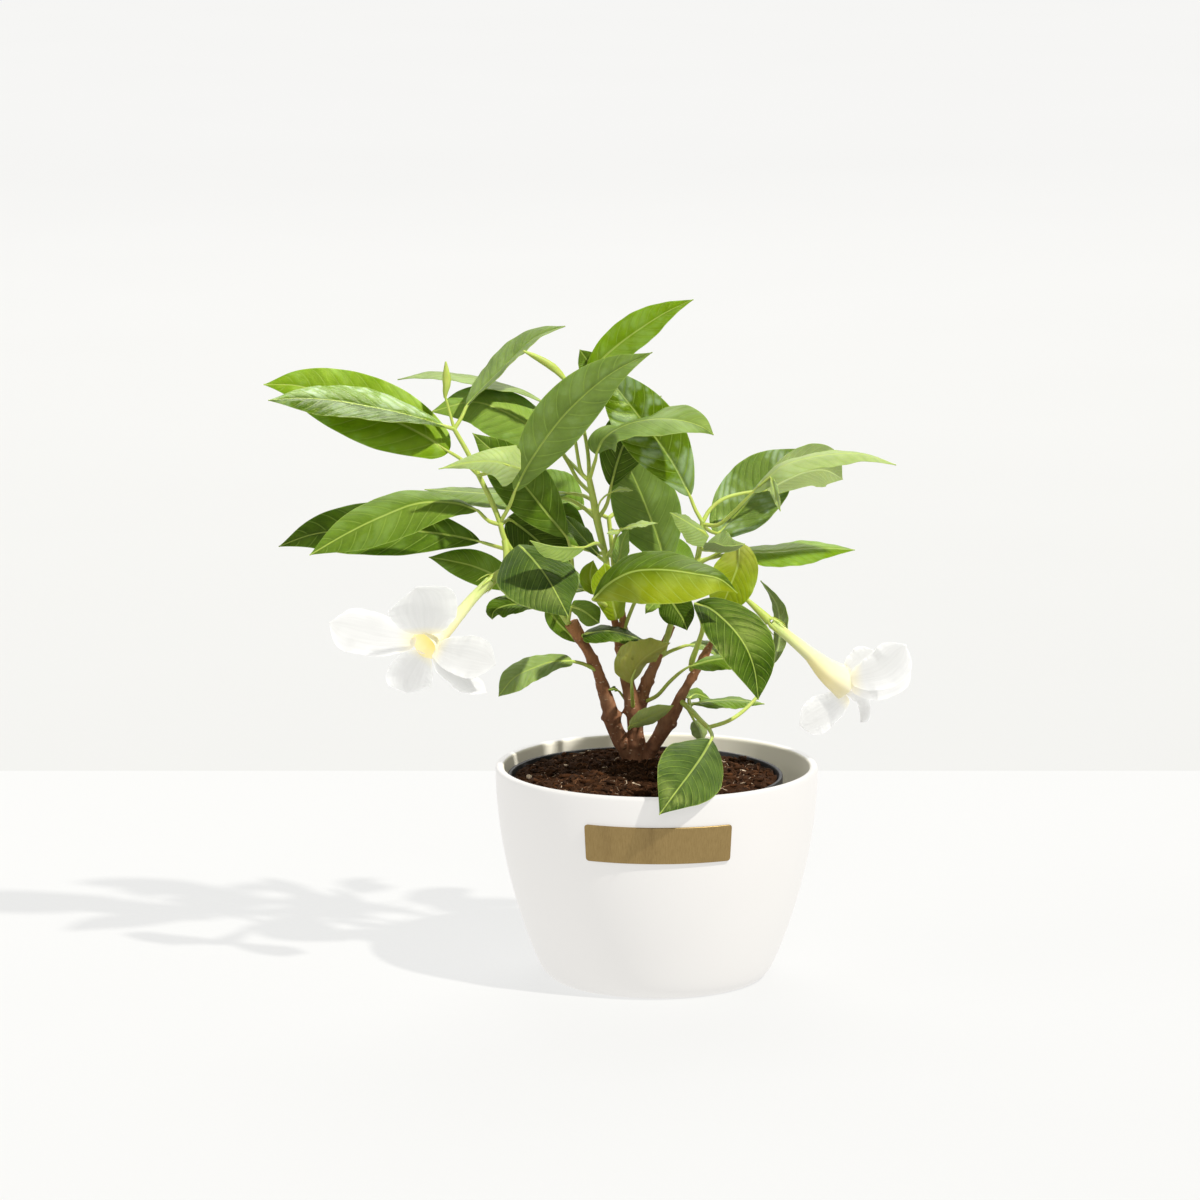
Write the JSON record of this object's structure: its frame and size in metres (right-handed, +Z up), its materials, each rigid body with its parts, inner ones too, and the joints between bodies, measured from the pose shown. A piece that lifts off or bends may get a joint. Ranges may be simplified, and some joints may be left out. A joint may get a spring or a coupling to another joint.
{
  "type": "potted mandevilla",
  "caption": "Potted mandevilla: a young climbing plant with glossy pointed leaves and white trumpet blooms, in a dark nursery pot that stands in a tapered white ceramic planter.",
  "frame": {"origin": "centre of the planter's flat foot", "axes": "+Z up out of the planter, -Y is the front with the name plate, +X to the right as seen from the front"},
  "size_m": [0.3206, 0.1805, 0.3395],
  "materials": {
    "glaze": "matte white glaze",
    "antique_brass": "antique brass, brushed",
    "black_plastic": "satin black plastic",
    "potting_mix": "damp fibrous potting mix",
    "bark": "smooth reddish bark with small pores",
    "leaf": "glossy green leaf, paler underneath",
    "petal": "thin white petal, cream throat"
  },
  "bodies": {
    "root": {"planter": "glaze", "name_plate": "antique_brass", "nursery_pot": "black_plastic", "potting_mix": "potting_mix", "woody_base": "bark", "bloom_left": "petal", "bloom_right": "petal", "shoot_left": "leaf", "shoot_centre": "leaf", "shoot_right": "leaf", "shoot_back": "leaf", "shoot_low": "leaf", "leaf_front": "leaf", "leaf_drooping": "leaf", "leaf_low_left": "leaf", "leaf_low_dark": "leaf", "leaf_old": "leaf", "leaf_low_pale": "leaf", "leaf_behind_branch": "leaf", "leaf_middle_thin": "leaf", "sprout_low": "leaf", "leaf_behind": "leaf", "leaf_between": "leaf"}
  },
  "joints": []
}
